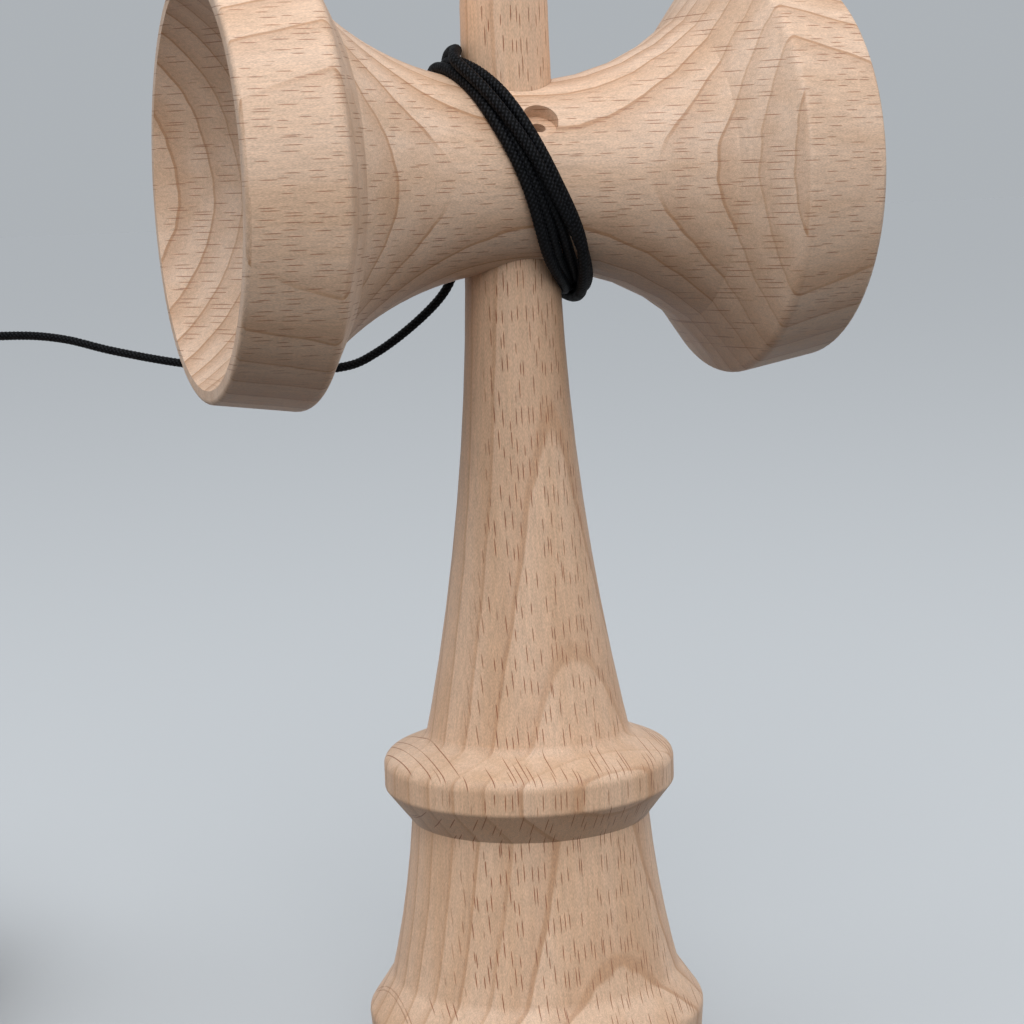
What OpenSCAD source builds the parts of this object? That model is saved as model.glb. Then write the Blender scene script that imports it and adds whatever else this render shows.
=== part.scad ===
// Kendama: a turned handle with a spike and a base cup, a crosspiece with two cups,
// and a ball on a string that is wound round the crossing of the two.
// Millimetres, Z up. The origin is the centre of the base cup's rim on the floor.

/* [Ken] */

// Height of the ken from the rim of its base cup to the tip of its spike.
ken_h = 182; // [150:1:210]
// Height of the crosspiece's axis above the floor.
sarado_z = 110; // [95:1:130]
// Width of the ken at the top of its handle, where the taper under the crosspiece starts.
seat_low_d = 11.06; // [9:0.02:14]
// Width of the ken at the upper end of that taper, above the crosspiece.
seat_top_d = 10.16; // [8:0.02:13]
// Height of the taper's lower end below the crosspiece's axis.
seat_drop = 12.7; // [11.5:0.1:18]
// Height of the taper's upper end above the crosspiece's axis.
seat_rise = 13; // [11.5:0.1:18]
// Width of the spike where it starts to narrow faster.
spike_d = 10; // [8:0.1:13]
// Height of that place above the crosspiece's axis.
spike_rise = 19; // [15:0.5:30]
// Width of the spike where its nose starts.
nose_d = 6.6; // [5:0.1:9]
// Length of the spike's nose.
nose_h = 10; // [5:0.5:16]
// Width of the spike close to its tip.
tip_d = 4.4; // [3:0.1:6]
// Length of the tip beyond that width.
tip_h = 2.2; // [1:0.1:4]
// Width of the blunt end of the tip.
tip_flat_d = 2.4; // [1.5:0.1:4]
// Radius of the hollow curve along the handle.
handle_curve_r = 283; // [200:1:500]

/* [Slip stop] */

// Width of the slip-stop ring.
ring_d = 34.16; // [28:0.02:42]
// Height of the lower edge of the ring's band.
ring_low_z = 39.4; // [34:0.1:48]
// Height of the upper edge of the ring's band.
ring_top_z = 43.05; // [36:0.05:52]
// Width of the handle where it meets the ring.
neck_d = 24.08; // [18:0.02:30]
// Height of the place where the handle meets the ring.
neck_z = 45.17; // [40:0.01:56]
// Rounding of the ring's upper edge.
ring_top_round = 1.6; // [0.4:0.1:3]
// Rounding of the ring's lower edge.
ring_low_round = 0.8; // [0.3:0.1:2]
// Radius of the small cove between ring and handle.
neck_cove_r = 1.6; // [0.5:0.1:4]

/* [Base cup] */

// Width of the base cup at its shoulder.
base_d = 39.9; // [34:0.1:48]
// Width of the base cup over its rim.
base_rim_d = 38; // [32:0.1:46]
// Height of the base cup's shoulder.
base_shoulder_z = 12.6; // [9:0.1:18]
// Width of the stem where it meets the base cup.
stem_low_d = 34.1; // [28:0.1:42]
// Height of the place where the stem meets the base cup.
stem_low_z = 16.9; // [12:0.1:22]
// Width of the stem under the slip-stop ring.
stem_top_d = 28.06; // [22:0.02:34]
// Height of the stem's upper end under the ring.
stem_top_z = 35.5; // [28:0.1:42]
// Radius of the hollow curve along the stem.
stem_curve_r = 119; // [60:1:300]
// Rounding of the base cup's shoulder.
base_round = 1.5; // [0.4:0.1:3]
// Radius of the small cove between stem and base cup.
stem_cove_r = 2.4; // [0.5:0.1:5]
// Depth of the base cup's dish.
base_dish_h = 8; // [5:0.1:11]

/* [Crosspiece] */

// Width of the crosspiece at its waist.
waist_d = 21.44; // [17:0.02:28]
// Length of the straight part of the waist, on the small cup's side.
waist_flat = 2; // [0.5:0.1:5]
// Distance of the big cup's rim from the ken's axis.
big_reach = 36.5; // [30:0.1:44]
// Width over the big cup's rim.
big_rim_d = 47.6; // [40:0.1:58]
// Width of the big cup at its back edge, where it is widest.
big_back_d = 50.6; // [42:0.1:62]
// Width of the big cup's outer band along the axis.
big_band = 10.6; // [6:0.1:15]
// Distance from the ken's axis to where the big cup's back meets the waist's curve.
big_kink = 22.4; // [18:0.1:28]
// Radius of the waist's curve on the big cup's side.
big_cove_r = 34.5; // [28:0.1:60]
// Depth of the big cup's dish.
big_dish_h = 12.5; // [8:0.1:16]
// Distance of the small cup's rim from the ken's axis.
small_reach = 36.6; // [30:0.1:44]
// Width over the small cup's rim.
small_rim_d = 44.4; // [36:0.1:54]
// Width of the small cup at its back edge, where it is widest.
small_back_d = 48; // [38:0.1:58]
// Width of the small cup's outer band along the axis.
small_band = 10.2; // [6:0.1:15]
// Distance from the ken's axis to where the small cup's back meets the waist's curve.
small_kink = 21; // [17:0.1:27]
// Radius of the waist's curve on the small cup's side.
small_cove_r = 30.4; // [24:0.1:60]
// Depth of the small cup's dish.
small_dish_h = 10.5; // [7:0.1:14]
// Width of the flat lip around each dish.
lip_w = 1.5; // [0.8:0.1:3]
// Rounding of the cups' outer lip edges.
lip_round = 0.6; // [0.2:0.1:1.2]
// Rounding of the cups' back edges.
back_round = 1.3; // [0.4:0.1:3]
// Radial gap between the ken's taper and the crosspiece's bore.
seat_gap = 0.04; // [0.02:0.01:0.1]

/* [String holes] */

// Width of a string hole in the crosspiece and in the ken.
hole_d = 1.6; // [1.2:0.1:3]
// Width of the flat-bottomed recess around a string hole.
recess_d = 4.1; // [3:0.1:6]
// Depth of that recess along its axis.
recess_h = 1.2; // [0.6:0.1:2.4]
// Angle up from the horizontal at which the recess sits on the waist.
recess_at = 35.5; // [25:0.5:50]
// Angle up from the horizontal at which the hole is drilled.
hole_tilt = 52; // [40:1:65]
// Offset of the string holes from the ken's axis, along the crosspiece.
hole_shift = 0.8; // [0:0.1:2]
// Width of the pocket in the ken that holds the inner knot.
knot_pocket_d = 3.4; // [3:0.1:4.4]
// Depth of that pocket behind the ken's surface.
knot_pocket_h = 3.2; // [3:0.1:4]

/* [String] */

// Thickness of the string as it is drawn here.
string_d = 0.9; // [0.7:0.05:1.2]
// Distance between neighbouring turns, along the crosspiece.
turn_pitch = 1.55; // [1.4:0.01:2]
// Height of one layer of turns over the one below.
turn_layer = 1.4; // [1.3:0.01:2]
// Gap between the lowest turns and the wood.
turn_lift = 0.15; // [0.05:0.05:0.5]
// Sideways lean of a turn where it crosses the front of the waist.
turn_lean = 5; // [3:0.1:7]
// Further sideways reach of a turn where it passes the ken.
turn_flare = 2.8; // [2:0.1:5]
// Gap between the end of the winding and the free run, where the run can swing.
swing_gap = 0.5; // [0.4:0.05:1]
// Width of the knots at the string's two ends.
knot_d = 2.6; // [2.2:0.1:2.8]

/* [Ball] */

// Width of the ball.
tama_d = 60; // [54:0.5:66]
// Width of the ball's big hole.
bore_d = 21; // [18:0.1:25]
// Length of the big hole's straight wall.
bore_h = 36; // [28:0.5:42]
// Width of the bevel around the big hole's mouth.
bore_bevel = 0.8; // [0.4:0.1:2]
// Width of the flat the ball stands on, around the hole's bevel.
foot_w = 0.8; // [0.4:0.1:2]
// Width of the pocket for the bead, beyond the big hole.
pocket_d = 11; // [9.5:0.1:13]
// Depth of that pocket.
pocket_h = 13; // [12:0.1:15]
// Width of the string hole through the top of the ball.
top_hole_d = 2.6; // [2:0.1:4]
// Width of the bead inside the ball.
bead_d = 8; // [6:0.1:9]
// Gap between the bead and the top of its pocket.
bead_gap = 0.4; // [0.35:0.05:1]
// Distance of the ball from the ken along the crosspiece, on the big cup's side.
tama_out = 86; // [80:1:120]
// Distance of the ball behind the crosspiece.
tama_back = 64; // [60:1:100]

/* [Hidden] */

$fn = 96;

wood = [0.80, 0.66, 0.52];
bead_wood = [0.74, 0.58, 0.42];
black = [0.05, 0.05, 0.06];

// Overlap with which one cutting shape runs past the surface it opens.
past = 1;

ring_r = ring_d / 2;
base_r = base_d / 2;
waist_r = waist_d / 2;
tama_r = tama_d / 2;
string_r = string_d / 2;
seat_low_z = sarado_z - seat_drop;
seat_top_z = sarado_z + seat_rise;
big_dish_r = big_rim_d / 2 - lip_w;
small_dish_r = small_rim_d / 2 - lip_w;
base_dish_r = base_rim_d / 2 - lip_w;

// Two-dimensional helpers for turned outlines, drawn as [distance from axis, place on axis].

// Direction from one point to another.
function heading(p, q) = (q - p) / norm(q - p);
// Half the angle of the corner at p between the points a and b.
function half_angle(a, p, b) = acos(heading(p, a) * heading(p, b)) / 2;
// Centre of the circle of radius r that touches both sides of the corner at p.
function corner_centre(a, p, b, r) =
    p + heading([0, 0], heading(p, a) + heading(p, b)) * r / sin(half_angle(a, p, b));
// The point on the side from p to a where that circle touches.
function corner_touch(a, p, b, r) = p + heading(p, a) * r / tan(half_angle(a, p, b));
// Radius of a ball-shaped dish from its rim radius and its depth.
function dish_ball(r, h) = (r * r + h * h) / (2 * h);
// How far a circle of radius r has risen at the distance x from its lowest point.
function rise(r, x) = r - sqrt(r * r - x * x);
// Centre of the circle of radius r through p and q that lies farther out than they do.
function side_centre(p, q, r) =
    (p + q) / 2 + [heading(p, q)[1], -heading(p, q)[0]] * sqrt(r * r - pow(norm(q - p) / 2, 2));

// Outline through points, each [radius, place, rounding]; an inward corner has a negative rounding.
module rounded_outline(points) {
    count = len(points);
    flat = [for (p = points) [p[0], p[1]]];
    before = [for (i = [0 : count - 1]) flat[(i + count - 1) % count]];
    after = [for (i = [0 : count - 1]) flat[(i + 1) % count]];
    difference() {
        union() {
            polygon([for (i = [0 : count - 1])
                let (r = abs(points[i][2]))
                each (r > 0
                    ? [corner_touch(before[i], flat[i], after[i], r),
                       corner_touch(after[i], flat[i], before[i], r)]
                    : [flat[i]])]);
            for (i = [0 : count - 1])
                if (points[i][2] > 0)
                    translate(corner_centre(before[i], flat[i], after[i], points[i][2]))
                        circle(r = points[i][2]);
        }
        for (i = [0 : count - 1])
            if (points[i][2] < 0)
                translate(corner_centre(before[i], flat[i], after[i], -points[i][2]))
                    circle(r = -points[i][2]);
    }
}

// The part between p (lower) and q (upper) of a disc of radius r, cut away outside the line from p to q.
module side_hollow(p, q, r) {
    intersection() {
        translate(side_centre(p, q, r))
            circle(r = r, $fn = 8 * $fn);
        translate([0, p[1]])
            square([base_d + ring_d, q[1] - p[1]]);
    }
}

neck = [neck_d / 2, neck_z];
seat_low = [seat_low_d / 2, seat_low_z];
stem_low = [stem_low_d / 2, stem_low_z];
stem_top = [stem_top_d / 2, stem_top_z];
// The two hollow curves start above their small coves, in the direction they have at the corner.
handle_out = heading(side_centre(neck, seat_low, handle_curve_r), neck);
handle_start = neck + [handle_out[1], -handle_out[0]] * 2 * neck_cove_r;
stem_out = heading(side_centre(stem_low, stem_top, stem_curve_r), stem_low);
stem_start = stem_low + [stem_out[1], -stem_out[0]] * stem_cove_r;

module ken_outline() {
    difference() {
        rounded_outline([
            [0, 0, 0],
            [base_rim_d / 2, 0, lip_round],
            [base_r, base_shoulder_z, base_round],
            [stem_low[0], stem_low[1], -stem_cove_r],
            [stem_start[0], stem_start[1], 0],
            [stem_top[0], stem_top[1], 0],
            [ring_r, ring_low_z, ring_low_round],
            [ring_r, ring_top_z, ring_top_round],
            [neck[0], neck[1], -neck_cove_r],
            [handle_start[0], handle_start[1], 0],
            [seat_low[0], seat_low[1], 0],
            [seat_top_d / 2, seat_top_z, 0],
            [spike_d / 2, sarado_z + spike_rise, 0],
            [nose_d / 2, ken_h - nose_h, 0],
            [tip_d / 2, ken_h - tip_h, tip_flat_d / 3],
            [tip_flat_d / 2, ken_h, tip_flat_d / 5],
            [0, ken_h, 0]]);
        side_hollow(stem_start, stem_top, stem_curve_r);
        side_hollow(handle_start, seat_low, handle_curve_r);
        translate([0, base_dish_h - dish_ball(base_dish_r, base_dish_h)])
            circle(r = dish_ball(base_dish_r, base_dish_h));
    }
}

// Height at which a string hole reaches the ken, above the crosspiece's axis.
hole_rise = waist_r * sin(recess_at)
    - (waist_r * cos(recess_at) - seat_low_d / 2) * tan(hole_tilt);

// The handle: cross hole for the string, with the knot's pocket on the front.
module ken() {
    color(wood)
        difference() {
            rotate_extrude()
                ken_outline();
            translate([0, 0, sarado_z + hole_rise])
                rotate([90, 0, 0])
                    cylinder(d = hole_d, h = seat_low_d + 2 * past, center = true);
            translate([0, knot_pocket_h - seat_top_d / 2, sarado_z + hole_rise])
                rotate([90, 0, 0])
                    cylinder(d = knot_pocket_d, h = knot_pocket_h + past);
        }
}

module sarado_outline() {
    big_back = big_reach - big_band;
    small_back = small_reach - small_band;
    difference() {
        rounded_outline([
            [0, -big_reach, 0],
            [big_rim_d / 2, -big_reach, lip_round],
            [big_back_d / 2, -big_back, back_round],
            [waist_r + rise(big_cove_r, big_kink), -big_kink, 0],
            [waist_r + rise(small_cove_r, small_kink - waist_flat), small_kink, 0],
            [small_back_d / 2, small_back, back_round],
            [small_rim_d / 2, small_reach, lip_round],
            [0, small_reach, 0]]);
        intersection() {
            translate([waist_r + big_cove_r, 0])
                circle(r = big_cove_r);
            translate([0, -big_kink])
                square([big_back_d, big_kink]);
        }
        translate([waist_r, -past])
            square([big_back_d, waist_flat + past]);
        intersection() {
            translate([waist_r + small_cove_r, waist_flat])
                circle(r = small_cove_r);
            translate([0, waist_flat])
                square([small_back_d, small_kink - waist_flat]);
        }
        translate([0, big_dish_h - big_reach - dish_ball(big_dish_r, big_dish_h)])
            circle(r = dish_ball(big_dish_r, big_dish_h));
        translate([0, small_reach - small_dish_h + dish_ball(small_dish_r, small_dish_h)])
            circle(r = dish_ball(small_dish_r, small_dish_h));
    }
}

// One string hole with its recess, on the front (side = -1) or the back (side = 1) of the waist.
module string_hole(side) {
    translate([hole_shift, side * waist_r * cos(recess_at), waist_r * sin(recess_at)])
        rotate([-side * (90 - hole_tilt), 0, 0]) {
            translate([0, 0, -recess_h])
                cylinder(d = recess_d, h = recess_h + waist_r);
            translate([0, 0, -waist_r * sin(recess_at) / sin(hole_tilt)])
                cylinder(d = hole_d, h = waist_r);
        }
}

// The crosspiece: its tapered bore matches the ken, widened by the seat's gap.
module sarado() {
    color(wood)
        translate([0, 0, sarado_z])
            difference() {
                rotate([0, 90, 0])
                    rotate_extrude()
                        sarado_outline();
                translate([0, 0, -seat_drop])
                    cylinder(d1 = seat_low_d + 2 * seat_gap, d2 = seat_top_d + 2 * seat_gap,
                             h = seat_drop + seat_rise);
                string_hole(-1);
                string_hole(1);
            }
}

// String shapes: a tube around a list of points, with its rings square to its course.

// Direction of a course of points at its i-th point.
function along(course, i) =
    heading(course[max(i - 1, 0)], course[min(i + 1, len(course) - 1)]);
// The part of a side direction that is square to the course.
function square_to(side, t) = (side - t * (side * t)) / norm(side - t * (side * t));

module tube(course, r, sides, side) {
    count = len(course);
    points = [for (i = [0 : count - 1])
        let (t = along(course, i), n = square_to(side, t), b = cross(t, n))
        for (k = [0 : sides - 1])
            course[i] + r * (n * cos(360 * k / sides) + b * sin(360 * k / sides))];
    walls = [for (i = [0 : count - 2])
        for (k = [0 : sides - 1])
            let (a = i * sides + k, b = i * sides + (k + 1) % sides)
            each [[a, b + sides, b], [a, a + sides, b + sides]]];
    first = [for (k = [0 : sides - 1]) k];
    last = [for (k = [0 : sides - 1]) count * sides - 1 - k];
    polyhedron(points, concat([first], walls, [last]));
}

// A smooth step from 0 to 1.
function step(s) = s <= 0 ? 0 : s >= 1 ? 1 : s * s * (3 - 2 * s);
// Radius of the waist at the place x.
function waist_at(x) = waist_r
    + (x < 0 ? rise(big_cove_r, x) : x < waist_flat ? 0 : rise(small_cove_r, x - waist_flat));

// The winding goes by the angle around the crosspiece: 0 at the front, 90 on top, 180 at the back.

// Turns of string around the crossing.
turns = 5;
// Angle from one ring of the tube to the next: 24 rings to a turn.
ring_step = 15;
// Angle at which a turn starts to move over to its next slot, and the angle it takes.
shift_at = 120;
shift_sweep = 90;
// Angles at which the winding lies down on the wood and at which it leaves it.
wind_from = 165;
wind_to = 360 * turns + 195;
// Slots of the turns as shares of pitch and layer, the last one being the way out over the others.
slot_shares = [[1, 0], [0, 0], [-1, 0], [-0.3, 1], [0.7, 1], [-1.9, 2]];
// Share of the first slot's lead that is still sideways of its slot, where the string hole is.
lead_share = 2.6;

// Sideways place of the middle of the winding at an angle.
function turn_x(a) = -(turn_lean * sin(a) + turn_flare * pow(sin(a), 3));
// Turn that an angle belongs to, and how far its move between slots has gone.
function turn_of(a) = floor((a - shift_at) / 360);
function turn_move(a) = (a - shift_at - 360 * turn_of(a)) / shift_sweep;
// Slot of a turn, with the lead from the hole counted as the slot before the first.
function slot(k) = k < 0 ? [lead_share, 0] : slot_shares[k];
// A climb to a higher layer is done before the sideways move.
function slot_at(k, s) = slot(k)[1] > slot(k - 1)[1]
    ? [slot(k - 1)[0] + (slot(k)[0] - slot(k - 1)[0]) * step(2 * s - 1),
       slot(k - 1)[1] + (slot(k)[1] - slot(k - 1)[1]) * step(2 * s)]
    : slot(k - 1) + (slot(k) - slot(k - 1)) * step(s);
// Middle of the string at an angle.
function wind_at(a) =
    let (q = slot_at(turn_of(a), turn_move(a)),
         x = turn_x(a) + q[0] * turn_pitch,
         r = waist_at(x) + turn_lift + string_r + q[1] * turn_layer)
    [x, -r * cos(a), sarado_z + r * sin(a)];

// The lead: out of the rear hole, over its recess and down onto the back of the waist.
hole_axis = [0, cos(hole_tilt), sin(hole_tilt)];
hole_mouth = [hole_shift, waist_r * cos(recess_at), sarado_z + waist_r * sin(recess_at)];
hole_way = (waist_r * cos(recess_at) - seat_low_d / 2) / cos(hole_tilt);
lead_shares = [0.86, 0.6, 0.35, 0.1];
lead_top = hole_mouth + hole_axis * string_d * 0.5;
lead = concat(
    [for (s = lead_shares) hole_mouth - hole_axis * hole_way * s],
    [for (s = [0 : 0.25 : 0.75])
        let (down = wind_at(wind_from), over = lead_top + hole_axis * string_d * 1.2)
        lead_top * pow(1 - s, 2) + over * 2 * s * (1 - s) + down * s * s]);

wound = [for (a = [wind_from : ring_step : wind_to]) wind_at(a)];

// Ball: it stands on the flat around its hole.
foot_r = bore_d / 2 + bore_bevel + foot_w;
tama_c = sqrt(tama_r * tama_r - foot_r * foot_r);
tama_top = tama_c + tama_r;
pocket_top = bore_h + pocket_h;
bead_z = pocket_top - bead_gap - bead_d / 2;
tama_at = [-tama_out, tama_back, 0];

// The free run hangs from the winding's end to the ball's top; its bends are shares of the way there.
wind_end = wound[len(wound) - 1];
tama_hole = tama_at + [0, 0, tama_top];
run_way = tama_hole - wind_end;
run_shares = [
    [0.034, -0.013, 0.179], [0.067, 0.033, 0.259], [0.122, 0.108, 0.345], [0.169, 0.174, 0.383],
    [0.263, 0.305, 0.389], [0.363, 0.438, 0.369], [0.450, 0.551, 0.336], [0.514, 0.637, 0.304],
    [0.574, 0.712, 0.293], [0.647, 0.788, 0.302], [0.737, 0.865, 0.351], [0.829, 0.929, 0.453],
    [0.908, 0.970, 0.596], [0.965, 0.992, 0.756], [0.993, 0.999, 0.882], [1, 1, 0.960]];
run_bends = [for (s = run_shares) wind_end + [run_way[0] * s[0], run_way[1] * s[1], run_way[2] * s[2]]];
exit_way = heading(wind_end, run_bends[0]);
tail_end = wind_end + exit_way * 2 * string_d;
run_start = tail_end + exit_way * swing_gap;
run_knots = concat([run_start, run_start + exit_way * 2 * string_d], run_bends,
                   [tama_hole - [0, 0, 2 * string_d],
                    [tama_hole[0], tama_hole[1], bead_z + bead_d / 2 + bead_gap],
                    [tama_hole[0], tama_hole[1], bead_z],
                    [tama_hole[0], tama_hole[1], bead_z - bead_d / 2 + hole_d / 2]]);
// A curve through four points, between the middle two.
function bend(p, s) =
    (p[1] * 2 + (p[2] - p[0]) * s + (p[0] * 2 - p[1] * 5 + p[2] * 4 - p[3]) * s * s
     + (p[1] * 3 - p[0] - p[2] * 3 + p[3]) * s * s * s) / 2;
run_last = len(run_knots) - 1;
run_steps = 3;
run = concat(
    [run_knots[0]],
    [for (i = [1 : run_last - 1])
        let (four = [for (j = [i - 1 : i + 2]) run_knots[min(j, run_last)]])
        for (k = [0 : run_steps - 1])
            if (k == 0 || norm(four[2] - four[1]) > 2 * run_steps * string_d)
                bend(four, k / run_steps)],
    [run_knots[run_last]]);

winding = concat(lead, wound, [wind_end + exit_way * string_d, tail_end]);

// Least gap of the winding to itself, between points more than a third of a turn apart.
apart = 9;
winding_gap = min([for (i = [0 : len(winding) - 1])
    for (j = [i + apart : 1 : len(winding) - 1])
        norm(winding[i] - winding[j])]) - string_d;
echo(winding_gap = winding_gap);
// Lengths of the drawn string, along its middle.
function way(course) = [for (i = [1 : len(course) - 1]) norm(course[i] - course[i - 1])]
    * [for (i = [1 : len(course) - 1]) 1];
echo(winding_length = way(winding), run_length = way(run));

// Distance of the inner knot from the ken's axis: it lies on the floor of its pocket.
knot_in = seat_top_d / 2 - knot_pocket_h + knot_d / 2;

// Inner end of the string with its knot, in the ken's cross hole.
module string_anchor_knot() {
    color(black)
        translate([0, 0, sarado_z + hole_rise])
            rotate([90, 0, 0]) {
                translate([0, 0, knot_in])
                    sphere(d = knot_d);
                translate([0, 0, string_r - seat_top_d / 2])
                    cylinder(d = string_d, h = seat_top_d / 2 - string_r + knot_in);
            }
}

// The turns of the string, from the rear hole to the place where the run leaves.
module string_winding() {
    color(black)
        tube(winding, string_r, 6, [1, 0, 0]);
}

// The free run of the string down to the bead in the ball.
module string_run() {
    color(black)
        tube(run, string_r, 8, [tama_back, tama_out, 0]);
}

// The ball: big hole, bead pocket and string hole on one axis.
module tama() {
    color(wood)
        translate(tama_at)
            difference() {
                translate([0, 0, tama_c])
                    sphere(r = tama_r);
                translate([-tama_r, -tama_r, -tama_d])
                    cube([tama_d, tama_d, tama_d]);
                translate([0, 0, -past])
                    cylinder(d = bore_d, h = bore_h + past);
                translate([0, 0, -bore_bevel])
                    cylinder(d1 = bore_d + 4 * bore_bevel, d2 = bore_d - 2 * bore_bevel,
                             h = 3 * bore_bevel);
                translate([0, 0, bore_h - past])
                    cylinder(d = pocket_d, h = pocket_h + past);
                translate([0, 0, pocket_top - past])
                    cylinder(d = top_hole_d, h = tama_d);
            }
}

// The stop bead, threaded on the string's end.
module tama_bead() {
    color(bead_wood)
        translate(tama_at + [0, 0, bead_z])
            difference() {
                sphere(d = bead_d);
                cylinder(d = hole_d, h = bead_d + 2 * past, center = true);
            }
}

// The knot under the bead.
module tama_knot() {
    color(black)
        translate(tama_at + [0, 0, bead_z - bead_d / 2 - knot_d / 2 + hole_d / 4])
            sphere(d = knot_d);
}

ken();
sarado();
string_anchor_knot();
string_winding();
string_run();
tama();
tama_bead();
tama_knot();
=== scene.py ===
# A kendama in sanded beech with a black braided string, in metres, in the frame of its solids.
# The sections follow the toy as it is put together, after the camera and the free string.
import math
import bpy
from mathutils import Matrix, Vector


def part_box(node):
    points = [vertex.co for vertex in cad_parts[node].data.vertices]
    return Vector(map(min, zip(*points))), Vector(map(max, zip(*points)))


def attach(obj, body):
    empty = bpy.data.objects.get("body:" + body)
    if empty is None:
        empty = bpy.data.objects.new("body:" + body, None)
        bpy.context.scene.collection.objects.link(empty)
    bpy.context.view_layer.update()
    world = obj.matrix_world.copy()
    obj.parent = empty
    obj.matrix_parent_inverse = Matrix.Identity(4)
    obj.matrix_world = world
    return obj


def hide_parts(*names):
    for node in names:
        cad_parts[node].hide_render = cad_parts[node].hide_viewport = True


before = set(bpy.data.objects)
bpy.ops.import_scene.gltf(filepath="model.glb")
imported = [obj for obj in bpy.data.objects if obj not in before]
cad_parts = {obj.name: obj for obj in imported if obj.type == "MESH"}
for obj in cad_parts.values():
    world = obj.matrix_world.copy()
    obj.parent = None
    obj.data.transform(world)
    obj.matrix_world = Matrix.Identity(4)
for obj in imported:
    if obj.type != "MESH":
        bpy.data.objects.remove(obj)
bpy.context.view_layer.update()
scene = bpy.context.scene
scene.view_settings.view_transform = "Standard"
MM = 0.001


# Camera
# It stands a little to the left of the front, level with the crosspiece and close to it,
# and looks slightly down, so the spike's tip and the foot of the base fall outside the frame.
camera_at = Vector((-0.09263, -0.26031, 0.10999))
camera_turn = math.radians(-19.383)
camera_tip = math.radians(-7.963)
camera_roll = math.radians(-1.943)
camera_data = bpy.data.cameras.new("camera")
camera_data.sensor_width = 36
camera_data.lens = 84.16
camera_data.clip_start = 0.01
camera = bpy.data.objects.new("camera", camera_data)
camera.matrix_world = (
    Matrix.Translation(camera_at)
    @ Matrix.Rotation(camera_turn, 4, "Z")
    @ Matrix.Rotation(math.pi / 2 + camera_tip, 4, "X")
    @ Matrix.Rotation(camera_roll, 4, "Z")
)
scene.collection.objects.link(camera)
scene.camera = camera


# Free run of the string
# A black braided cord of fine yarns. It hangs from the last turn behind the waist
# and arches over to the ball, where it goes down through the small hole to a bead.
class Wire:
    """A node's output. Arithmetic on wires adds Math nodes to their tree."""

    def __init__(self, tree, socket=None):
        self.tree = tree
        self.socket = socket

    def node(self, kind, inputs=None, settings=None, out=0):
        """Add a node: first its settings, then its inputs, each a value or a wire."""
        made = self.tree.nodes.new(kind)
        for name, value in (settings or {}).items():
            if name == "captures":
                made.capture_items.new("FLOAT", value)
            else:
                setattr(made, name, value)
        feed(made, inputs or {})
        return Wire(self.tree, made.outputs[out]) if len(made.outputs) else None

    def other(self, out):
        """Another output of the same node."""
        return Wire(self.tree, self.socket.node.outputs[out])

    def math(self, operation, *values):
        """A Math node on this wire and other values."""
        inputs = dict(enumerate((self, *values)))
        return self.node("ShaderNodeMath", inputs, {"operation": operation})

    def __add__(self, value):
        return self.math("ADD", value)

    def __mul__(self, value):
        return self.math("MULTIPLY", value)

    def __sub__(self, value):
        return self.math("SUBTRACT", value)

    def __rsub__(self, value):
        return (self * -1) + value

    def __truediv__(self, value):
        return self.math("DIVIDE", value)

    def __pow__(self, value):
        return self.math("POWER", value)

    __radd__ = __add__
    __rmul__ = __mul__

    def between(self, low, high):
        """A smooth step from 0 at low to 1 at high."""
        inputs = {"Value": self, "From Min": low, "From Max": high}
        return self.node("ShaderNodeMapRange", inputs, {"interpolation_type": "SMOOTHSTEP"})

    def mix(self, low, high):
        """Low where this wire is 0 and high where it is 1, both numbers."""
        return self.node("ShaderNodeMix", {0: self, 2: low, 3: high}, {"data_type": "FLOAT"})

    def blend(self, low, high):
        """Low where this wire is 0 and high where it is 1, both colours."""
        return self.node("ShaderNodeMix", {0: self, 6: low, 7: high}, {"data_type": "RGBA"}, out=2)

    def times(self, tint):
        """This colour multiplied by another."""
        settings = {"data_type": "RGBA", "blend_type": "MULTIPLY"}
        return self.node("ShaderNodeMix", {0: 1.0, 6: self, 7: tint}, settings, out=2)


def feed(node, inputs):
    """Set a node's inputs, each to a value or a wire."""
    for name, value in inputs.items():
        if isinstance(value, Wire):
            node.id_data.links.new(value.socket, node.inputs[name])
        else:
            node.inputs[name].default_value = value


def new_material(name):
    """A material with its shader, and the wire that its other nodes start from."""
    material = bpy.data.materials.new(name)
    material.use_nodes = True
    tree = material.node_tree
    return material, tree.nodes["Principled BSDF"], Wire(tree)


yarns = 6
yarn_step = 0.56 * MM
yarn_relief = 0.12 * MM
yarn_dip = 0.4
mean_height = 0.7
ring_step = 0.15 * MM
string_sides = 24
lint_per_metre = 9000.0

string_black, shader, ink = new_material("string_black")
crest = ink.node("ShaderNodeAttribute", None, {"attribute_name": "crest"}, out="Fac")
at = ink.node("ShaderNodeTexCoord", out="Object")
lint = ink.node("ShaderNodeTexNoise", {"Vector": at, "Scale": lint_per_metre, "Detail": 1.0})
# The tops of the yarns are painted lighter as a painted highlight, and the grooves between them
# nearly black as painted shade; the cord itself is black.
groove_shade, yarn_and_highlight = (0.0006, 0.0006, 0.0007, 1), (0.024, 0.026, 0.031, 1)
feed(shader, {
    "Base Color": (crest.between(0.5, 1.0) ** 1.5).blend(groove_shade, yarn_and_highlight),
    "Roughness": 0.45 + 0.25 * lint,
    "Specular IOR Level": 0.08,
})

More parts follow.
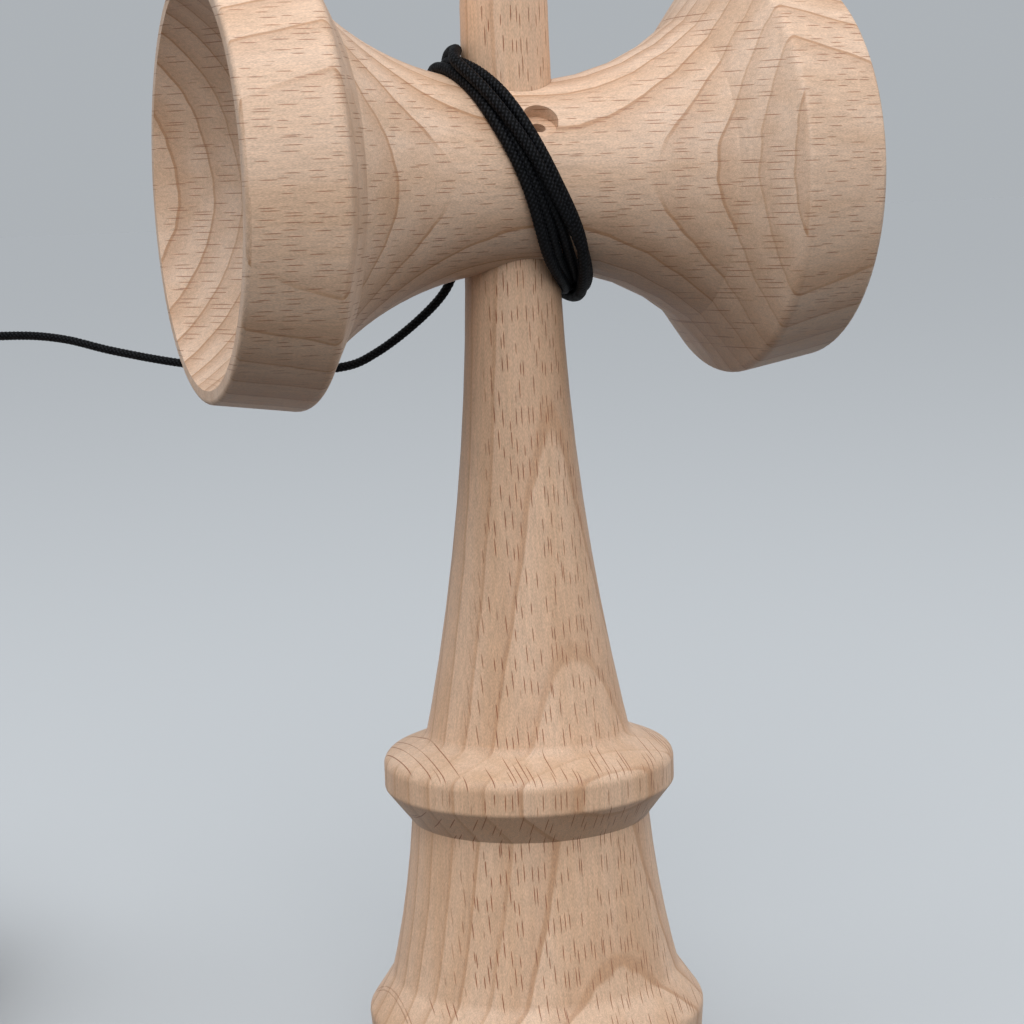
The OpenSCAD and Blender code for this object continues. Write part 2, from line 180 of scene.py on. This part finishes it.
# The braid: two sets of yarns that run round the cord in opposite ways, over and under each other.
braid = bpy.data.node_groups.new("braid", "GeometryNodeTree")
braid.interface.new_socket("Path", in_out="INPUT", socket_type="NodeSocketGeometry")
for size in ("Width", "Thickness", "Twist"):
    braid.interface.new_socket(size, in_out="INPUT", socket_type="NodeSocketFloat")
braid.interface.new_socket("Cord", in_out="OUTPUT", socket_type="NodeSocketGeometry")
tree = Wire(braid)
given = tree.node("NodeGroupInput")
path = tree.node("GeometryNodeMeshToCurve", {"Mesh": given})
path = tree.node(
    "GeometryNodeResampleCurve", {"Curve": path, "Length": ring_step}, {"mode": "LENGTH"}
)
place = tree.node("GeometryNodeSplineParameter")
path = tree.node(
    "GeometryNodeSetCurveTilt", {"Curve": path, "Tilt": place * given.other("Twist")}
)
path = tree.node(
    "GeometryNodeCaptureAttribute",
    {"Geometry": path, 1: place.other("Length")},
    {"captures": "along"},
)
along = path.other(1)
section = tree.node(
    "GeometryNodeCurvePrimitiveCircle", {"Resolution": string_sides, "Radius": 0.5}
)
section = tree.node(
    "GeometryNodeCaptureAttribute",
    {"Geometry": section, 1: tree.node("GeometryNodeSplineParameter")},
    {"captures": "around"},
)
around = section.other(1)
size = tree.node("ShaderNodeCombineXYZ", {0: given.other("Width"), 1: given.other("Thickness")})
section = tree.node("GeometryNodeTransform", {"Geometry": section, "Scale": size})
cord = tree.node(
    "GeometryNodeCurveToMesh", {"Curve": path, "Profile Curve": section, "Fill Caps": True}
)
right_hand = around * yarns + along / yarn_step
left_hand = around * yarns - along / yarn_step
over = (right_hand.math("FLOOR") + left_hand.math("FLOOR")).math("FLOORED_MODULO", 2.0)
right_part = right_hand.math("FRACT") * math.pi
left_part = left_hand.math("FRACT") * math.pi
across_yarn = over.mix(right_part, left_part).math("SINE")
along_yarn = over.mix(left_part, right_part).math("SINE")
height = across_yarn.math("MAXIMUM", 0.0) ** 0.5 * (1 - yarn_dip + yarn_dip * along_yarn)
offset = tree.node(
    "ShaderNodeVectorMath",
    {0: tree.node("GeometryNodeInputNormal"), "Scale": (height - mean_height) * yarn_relief},
    {"operation": "SCALE"},
)
cord = tree.node("GeometryNodeSetPosition", {"Geometry": cord, "Offset": offset})
# The yarns' height is kept as crest; the string's colour uses it to paint highlights on the tops
# and shade in the grooves.
cord = tree.node(
    "GeometryNodeStoreNamedAttribute",
    {"Geometry": cord, "Name": "crest", "Value": height},
    {"data_type": "FLOAT", "domain": "POINT"},
)
cord = tree.node("GeometryNodeSetShadeSmooth", {"Geometry": cord})
cord = tree.node("GeometryNodeRealizeInstances", {"Geometry": cord})
cord = tree.node("GeometryNodeSetMaterial", {"Geometry": cord, "Material": string_black})
tree.node("NodeGroupOutput", {"Cord": cord})


def plain_mesh(piece):
    """Turn what a piece's modifiers make into its own mesh, and remove them."""
    made = piece.evaluated_get(bpy.context.evaluated_depsgraph_get())
    piece.data = bpy.data.meshes.new_from_object(made)
    piece.modifiers.clear()
    return piece


def braided(name, route, width, thickness, twist=0.0):
    """A length of braided string along a route of points."""
    line = bpy.data.meshes.new(name)
    line.from_pydata(route, [(i, i + 1) for i in range(len(route) - 1)], [])
    piece = bpy.data.objects.new(name, line)
    scene.collection.objects.link(piece)
    plait = piece.modifiers.new("braid", "NODES")
    plait.node_group = braid
    sizes = {"Width": width, "Thickness": thickness, "Twist": twist}
    for socket in braid.interface.items_tree:
        if socket.name in sizes:
            plait[socket.identifier] = sizes[socket.name]
    plain_mesh(piece)
    return piece


def bend(a, b, c, d, share):
    """What lies at a share of the way from b to c, on a curve through all four."""
    turn = (a * 2 - b * 5 + c * 4 - d) * share**2
    return (b * 2 + (c - a) * share + turn + (b * 3 - a - c * 3 + d) * share**3) / 2


def smooth(knots, steps):
    """A curve through points, with steps of it between each two."""
    ends = [knots[0], *knots, knots[-1]]
    route = [bend(*ends[i:i + 4], k / steps) for i in range(len(knots) - 1) for k in range(steps)]
    return route + [knots[-1]]


run_width, run_thickness = 1.4 * MM, 1.0 * MM
run_twist = math.radians(150)
run_steps = 8
# The route of its solid in millimetres, from the last turn to the knot under the bead.
run_points = [
    (-1.280, 13.480, 104.167), (-1.846, 13.353, 102.463), (-3.463, 12.989, 97.593),
    (-6.282, 15.305, 93.681), (-10.982, 19.082, 89.476), (-14.997, 22.405, 87.618),
    (-23.029, 29.002, 87.325), (-31.573, 35.700, 88.303), (-39.007, 41.390, 89.916),
    (-44.475, 45.721, 91.481), (-49.602, 49.497, 92.019), (-55.839, 53.324, 91.579),
    (-63.529, 57.202, 89.183), (-71.389, 60.425, 84.196), (-78.139, 62.489, 77.204),
    (-83.010, 63.597, 69.381), (-85.402, 63.950, 63.221), (-86.000, 64.000, 59.407),
    (-86.000, 64.000, 55.652), (-86.000, 64.000, 49.000), (-86.000, 64.000, 44.600),
    (-86.000, 64.000, 41.400),
]
run_knots = [Vector(point) * MM for point in run_points]
run_course = smooth(run_knots, run_steps)
run_length = sum((b - a).length for a, b in zip(run_course, run_course[1:]))
string_run = braided("braided_run", run_course, run_width, run_thickness, run_twist)
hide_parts("string_run")
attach(string_run, "string")


# Winding
# Five turns of the same string, laid by hand round the crossing to park it: over the waist
# to the left of the spike and under it to the right of the handle. Three lie on the wood and
# two on top of them.
axis_z = 110 * MM
waist_r = 10.72 * MM
big_cove_r, small_cove_r, waist_flat = 34.5 * MM, 30.4 * MM, 2 * MM
wound_d = 1.3 * MM
turn_layer = 1.12 * MM
wind_from, wind_to, wind_step = 180, 360 * 5 + 195, 6
wound_steps = 2
# The bundle's middle and half width along the waist in millimetres, every 45 degrees from the
# front over the top.
bundle_middle = (-0.8, -4.95, -7.5, -5.2, -0.2, 4.4, 7.1, 3.7)
bundle_half = (1.6, 1.5, 1.25, 1.5, 1.6, 1.5, 0.95, 2.45)
# The string's place in the bundle, from -1 to 1, and its layer: at the back, then in each turn
# below, in front, on top and at the back.
stations = [Vector(station) for station in (
    (0.9, 0), (1.7, 0),
    (0.2, 0), (0.15, 0), (0.9, 0), (0.2, 0),
    (-0.6, 0.4), (-0.4, 0), (0.2, 0), (-0.75, 0),
    (-0.95, 1.2), (-1, 0), (-0.4, 0.1), (-0.3, 1.15),
    (0.75, 1), (0.35, 1), (-1, 1.4), (0.9, 1.1),
    (0.3, 1.85), (1, 0.85), (1, 1), (-0.75, 2.4),
    (-2.5, 2.9), (-2.5, 2.9),
)]
# The fourth turn stands up in a loose loop beside the spike: it rises late and falls slowly.
loop_at, loop_side, loop_height = 360 * 4 + 90, 2.75, 0.8
loop_rise, loop_fall = 30, 1.2


def waist_at(x):
    """The radius of the waist at the place x."""
    cove = big_cove_r if x < 0 else small_cove_r
    reach = x if x < 0 else max(x - waist_flat, 0)
    return waist_r + cove - math.sqrt(cove**2 - reach**2)


def value_at(values, degrees):
    """A value at an angle, from values every 45 degrees."""
    i = math.floor(degrees / 45)
    return bend(*(values[(i + k) % 8] for k in (-1, 0, 1, 2)), degrees / 45 - i)


def wound(degrees):
    """The middle of the string at an angle: 0 at the front, 90 on top, 180 at the back."""
    i = math.floor(degrees / 90) - 2
    place, layer = bend(*stations[max(i, 0):max(i, 0) + 4], degrees / 90 - 2 - max(i, 0))
    up = math.sin(math.radians(degrees))
    steep = loop_rise if degrees < loop_at else loop_fall
    loop = max(up, 0) ** steep if abs(degrees - loop_at) < 90 else 0
    x = value_at(bundle_middle, degrees) + place * value_at(bundle_half, degrees) + loop_side * loop
    r = waist_at(x * MM) + wound_d / 2 + (max(layer, 0) + loop_height * loop) * turn_layer
    return Vector((x * MM, -r * math.cos(math.radians(degrees)), axis_z + r * up))


# The string comes out of the rear hole and goes over its edge onto the waist; its other end goes
# into the free run.
hole_tilt, hole_turn, hole_shift = math.radians(52), math.radians(35.5), 0.8 * MM
lead_steps = (-4.5, -3, -1.5, 0, 0.9)
tail_shares = (0.5, 0, -0.3)
hole_way = Vector((0, math.cos(hole_tilt), math.sin(hole_tilt)))
hole_out, hole_up = waist_r * math.cos(hole_turn), waist_r * math.sin(hole_turn)
hole_mouth = Vector((hole_shift, hole_out, axis_z + hole_up))
lead = [hole_mouth + hole_way * step * MM for step in lead_steps]
wound_course = [wound(degrees) for degrees in range(wind_from, wind_to, wind_step)]
tail = [run_knots[0] + (run_knots[0] - run_knots[1]) * share for share in tail_shares]
winding_course = smooth(lead + wound_course + tail, wound_steps)
string_winding = braided("braided_winding", winding_course, wound_d, wound_d)
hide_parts("string_winding")
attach(string_winding, "sarado")


# Knots
# An overhand knot at each end of the string: one sunk in a pocket of the ken, under the
# crosspiece, and one that keeps the bead on the string inside the ball.
knot_size = 0.27 * MM
knot_d = 0.9 * MM
knot_open, knot_steps = 20, 60


def overhand(name, middle, way, tail):
    """A tight overhand knot whose tail leaves along a direction."""
    turn = way.to_track_quat("Z", "Y")
    course = []
    for step in range(knot_steps + 1):
        t = math.radians(knot_open + (360 - 2 * knot_open) * step / knot_steps)
        loop = Vector((
            math.sin(t) + 2 * math.sin(2 * t),
            math.cos(t) - 2 * math.cos(2 * t),
            -math.sin(3 * t),
        ))
        course.append(middle + turn @ (loop * knot_size))
    return braided(name, course + [middle + way * tail], knot_d, knot_d)


def centre(node):
    """The middle of a solid's box."""
    low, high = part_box(node)
    return (Vector(low) + Vector(high)) / 2


for node, body, way, tail in (
    ("string_anchor_knot", "ken", Vector((0, 1, 0)), 4 * MM),
    ("tama_knot", "string", Vector((0, 0, 1)), 3 * MM),
):
    knot = overhand("tied_" + node, centre(node), way, tail)
    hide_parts(node)
    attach(knot, body)


# Ken
# The handle, turned on a lathe from one stick of beech and sanded: spike, handle, slip-stop ring
# and base cup. The year rings stand across its front, so arches show on the handle and the stem.
# The spacing of the rays in millimetres, and the square of a ray's half width in spacings.
ray_pitch = 0.66
ray_thin = 0.0095
# How far the year rings wander in millimetres, the shares of their thin line and of the wide band
# before it, and how much they fade on end grain.
ring_sway, ring_ripple = 1.4, 0.45
line_share, band_share, end_fade = 0.5, 0.55, 0.7
pale_wood, warm_wood = (0.72, 0.515, 0.375), (0.65, 0.435, 0.29)
dark_wood, ray_wood = (0.47, 0.26, 0.14), (0.29, 0.1, 0.035)
no_tint, end_tint = (1, 1, 1, 1), (0.92, 0.95, 0.98, 1)


def beech(name, grain, bark, ray_way, year_rings, ray_marks, seed, tone):
    """Beech with fibres along grain, year rings growing towards bark and rays along ray_way.

    The year rings have an edge, a width, a softness, a depth and the share that they fade by where
    the cut runs along them; the ray marks a length and a depth.
    """
    ring_edge, ring_width, ring_soft, ring_depth, ring_fade = year_rings
    ray_long, ray_depth = ray_marks
    wood, shader, tree = new_material(name)
    place = tree.node("ShaderNodeTexCoord", out="Object")
    face = place.other("Normal")
    grain, bark, ray_way = (Vector(way).normalized() for way in (grain, bark, ray_way))
    ray_side = grain.cross(ray_way)

    def part(vector, way):
        """How far a vector reaches along a direction."""
        inputs = {0: vector, 1: way}
        return tree.node("ShaderNodeVectorMath", inputs, {"operation": "DOT_PRODUCT"}, out="Value")

    along, out, side, deep = (part(place, way) / MM for way in (grain, bark, ray_side, ray_way))

    def cells(side_size, deep_size, along_size):
        """A place measured in patches of these sizes in millimetres."""
        at = {0: side / side_size + seed, 1: deep / deep_size, 2: along / along_size}
        return tree.node("ShaderNodeCombineXYZ", at)

    def noise(side_size, deep_size, along_size, detail=1.0):
        """Uneven patches of about these sizes, from 0 to 1."""
        inputs = {"Vector": cells(side_size, deep_size, along_size), "Scale": 1.0, "Detail": detail}
        return tree.node("ShaderNodeTexNoise", inputs)

    # Year rings: pale spring wood darkens slowly towards an edge.
    cuts = (part(face, way).math("ABSOLUTE") for way in (grain, bark, ray_side))
    cut_end, cut_ring, cut_ray = cuts
    sway = (noise(16, 24, 50) - 0.5) * ring_sway + (noise(2.5, 8, 7) - 0.5) * ring_ripple
    age = (out + sway - ring_edge) / ring_width
    late = age.math("FRACT")
    one_number = {"noise_dimensions": "1D"}
    year = tree.node("ShaderNodeTexWhiteNoise", {"W": age.math("FLOOR")}, one_number)
    edge_line = late.between(1 - 3.5 * ring_soft, 1 - 2 * ring_soft)
    rings = edge_line * line_share + late.between(0.25, 1.0) * band_share
    rings = rings * (1 - late.between(1 - ring_soft, 1.0)) * (0.65 + 0.4 * year) * ring_depth
    rings = rings * (1 - ring_fade * cut_ring.between(0.84, 0.94))
    rings = rings * (1 - end_fade * cut_end.between(0.5, 1.0))

    # Rays: ribbons that run from pith to bark, seen end on as short dark dashes.
    at = tree.node("ShaderNodeCombineXYZ", {0: side / ray_pitch + seed, 1: along / ray_long})
    ray_cells = {"Vector": at, "Scale": 1.0, "Randomness": 0.9}
    ray_cell = tree.node("ShaderNodeTexVoronoi", ray_cells, {"voronoi_dimensions": "2D"})
    luck = ray_cell.other("Color").between(0.15, 0.8)
    off = {0: at, 1: ray_cell.other("Position")}
    off = tree.node("ShaderNodeVectorMath", off, {"operation": "SUBTRACT"})
    off_side = tree.node("ShaderNodeSeparateXYZ", {0: off})
    off_along = off_side.other("Y") / (0.12 + 0.34 * luck)
    lens = off_side * off_side / ray_thin + off_along * off_along
    rays = (1 - lens.between(0.3, 1.0)) * luck.between(0.1, 0.5) * (1 - cut_ray.between(0.65, 0.95))

    fibre = noise(0.3, 0.4, 7, 2.0)
    pores = noise(0.09, 0.09, 0.35)
    streak = noise(3.5, 5, 60, 2.0)

    pale, warm, dark, ray = (
        (*(level * share for level, share in zip(colour, tone)), 1)
        for colour in (pale_wood, warm_wood, dark_wood, ray_wood)
    )
    colour = streak.between(0.3, 0.75).blend(pale, warm)
    colour = rings.blend(colour, dark)
    colour = (rays * ray_depth).blend(colour, ray)
    # Fibres and pores make the wood a little lighter or darker, with 1 as the mean.
    shade = 0.42 + 0.46 * fibre + 0.7 * pores
    colour = colour.times(tree.node("ShaderNodeCombineColor", {0: shade, 1: shade, 2: shade}))
    colour = colour.times(cut_end.between(0.15, 0.95).blend(no_tint, end_tint))

    relief = fibre * 0.5 + pores * 0.5 - rays * 0.6
    bump = tree.node("ShaderNodeBump", {"Height": relief, "Strength": 0.3, "Distance": 0.05 * MM})
    feed(shader, {
        "Base Color": colour,
        "Roughness": 0.45 + 0.2 * fibre,
        "Normal": bump,
        "Specular IOR Level": 0.75,
    })
    return wood


def finish_node(node, wood):
    """Give a solid its material."""
    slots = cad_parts[node].data.materials
    slots.clear()
    slots.append(wood)


ken_figure = (0, 0, 1), (0.287, -0.958, 0), (0, 1, 0), (3.4, 3.3, 0.05, 0.75, 0.1), (3.0, 1.0)
finish_node("ken", beech("ken_beech", *ken_figure, 3.0, (0.98, 0.94, 0.89)))


# Crosspiece
# Turned from a second stick whose grain runs from cup to cup, bored and pushed onto the ken's
# taper. Its year rings lie across the view, so nested arches show on the backs of the cups.
sarado_figure = (1, 0, 0), (0, 1, 0), (0, 1, 0), (-12.4, 3.3, 0.03, 1.3, 0.9), (2.8, 0.75)
finish_node("sarado", beech("sarado_beech", *sarado_figure, 11.0, (1, 1, 1)))


# Ball
# A beech ball with a wide hole below for the spike and a narrow one on top for the string. Its
# grain runs nearly along the holes, so year rings close into ovals on two of its sides.
tama_figure = (0.2, 0.1, 1), (-0.4, 1, 0), (-0.4, 1, 0), (1.2, 3.0, 0.05, 0.8, 0.5), (2.6, 0.7)
finish_node("tama", beech("tama_beech", *tama_figure, 23.0, (1, 1, 1)))


# Bead
# The small bead inside the ball that the string's end knot holds. It is hidden there, and is
# plain beech in a darker tone.
bead_figure = (0, 0, 1), (1, 0, 0), (1, 0, 0), (0.5, 2.0, 0.05, 0.8, 0.5), (2.6, 0.7)
finish_node("tama_bead", beech("bead_beech", *bead_figure, 31.0, (0.82, 0.82, 0.82)))


# Floor and light
# A plain pale floor, with soft lamps overhead and in front and a weak one on each side.
floor_half = 6.0
floor_mesh = bpy.data.meshes.new("floor")
corners = [(x * floor_half, y * floor_half, 0) for x, y in ((-1, -1), (1, -1), (1, 1), (-1, 1))]
floor_mesh.from_pydata(corners, [], [(0, 1, 2, 3)])
floor = bpy.data.objects.new("floor", floor_mesh)
scene.collection.objects.link(floor)

pale_floor, bounce_floor = (0.47, 0.50, 0.525, 1), (0.03, 0.03, 0.03, 1)
pale_sky = (0.42, 0.447, 0.473, 1)
pale_dome, dark_dome = (0.97, 0.97, 0.98, 1), (0.05, 0.05, 0.05, 1)
lamp_target = Vector((0, 0, 0.09))


def seen(tree):
    """1 for the rays that show a thing itself, and 0 for those that carry its light."""
    ray = tree.node("ShaderNodeLightPath", out="Is Camera Ray")
    return ray + ray.other("Is Glossy Ray") + ray.other("Is Transmission Ray")


floor_paint, shader, paint = new_material("floor_paint")
feed(shader, {
    "Base Color": seen(paint).blend(bounce_floor, pale_floor),
    "Roughness": 0.9,
    "Specular IOR Level": 0.0,
})
floor_mesh.materials.append(floor_paint)

studio = bpy.data.worlds.new("studio")
studio.use_nodes = True
scene.world = studio
sky = Wire(studio.node_tree)
heading = sky.node("ShaderNodeTexCoord", out="Generated")
upward = sky.node("ShaderNodeSeparateXYZ", {0: heading}, out="Z")
dome = upward.between(-0.15, 0.6).blend(dark_dome, pale_dome)
feed(studio.node_tree.nodes["Background"], {"Color": seen(sky).blend(dome, pale_sky)})

for name, place, size, power in (
    ("overhead", (-0.25, -0.30, 0.85), 0.7, 1.8),
    ("front", (-0.24, -0.80, 0.72), 0.6, 3.6),
    ("right", (0.75, -0.30, 0.45), 0.5, 0.75),
    ("left", (-0.70, 0.02, 0.55), 0.5, 0.4),
):
    lamp_data = bpy.data.lights.new(name, "AREA")
    lamp_data.shape = "DISK"
    lamp_data.size = size
    lamp_data.energy = power
    lamp = bpy.data.objects.new(name, lamp_data)
    aim = (lamp_target - Vector(place)).to_track_quat("-Z", "Y")
    lamp.matrix_world = Matrix.Translation(place) @ aim.to_matrix().to_4x4()
    scene.collection.objects.link(lamp)
